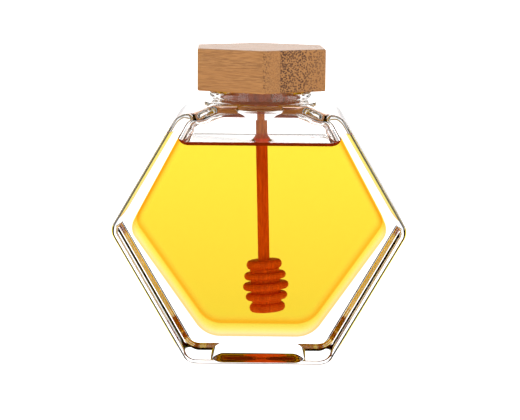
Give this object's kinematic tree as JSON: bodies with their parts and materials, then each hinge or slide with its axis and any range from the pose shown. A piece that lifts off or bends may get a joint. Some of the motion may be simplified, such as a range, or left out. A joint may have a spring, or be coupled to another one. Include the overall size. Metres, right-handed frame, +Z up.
{
  "type": "hexagonal honey jar with dipper",
  "caption": "Flat-faced hexagonal glass jar of honey standing on one side, with a hexagonal bamboo lid and a wooden dipper hanging inside.",
  "frame": {"origin": "middle of the base, on the surface the jar stands on", "axes": "+Z up through the neck and lid, -Y towards the viewer of the flat front face, +X to the viewer's right through the side corner"},
  "size_m": [0.1176, 0.0584, 0.1262],
  "materials": {
    "clear_glass": "thick clear pressed glass",
    "honey": "clear golden liquid honey",
    "bamboo": "pressed bamboo strips, satin",
    "dipper_wood": "turned hardwood, soaked in honey"
  },
  "bodies": {
    "root": {"jar": "clear_glass", "honey": "honey", "lid": "bamboo", "dipper": "dipper_wood"}
  },
  "joints": []
}
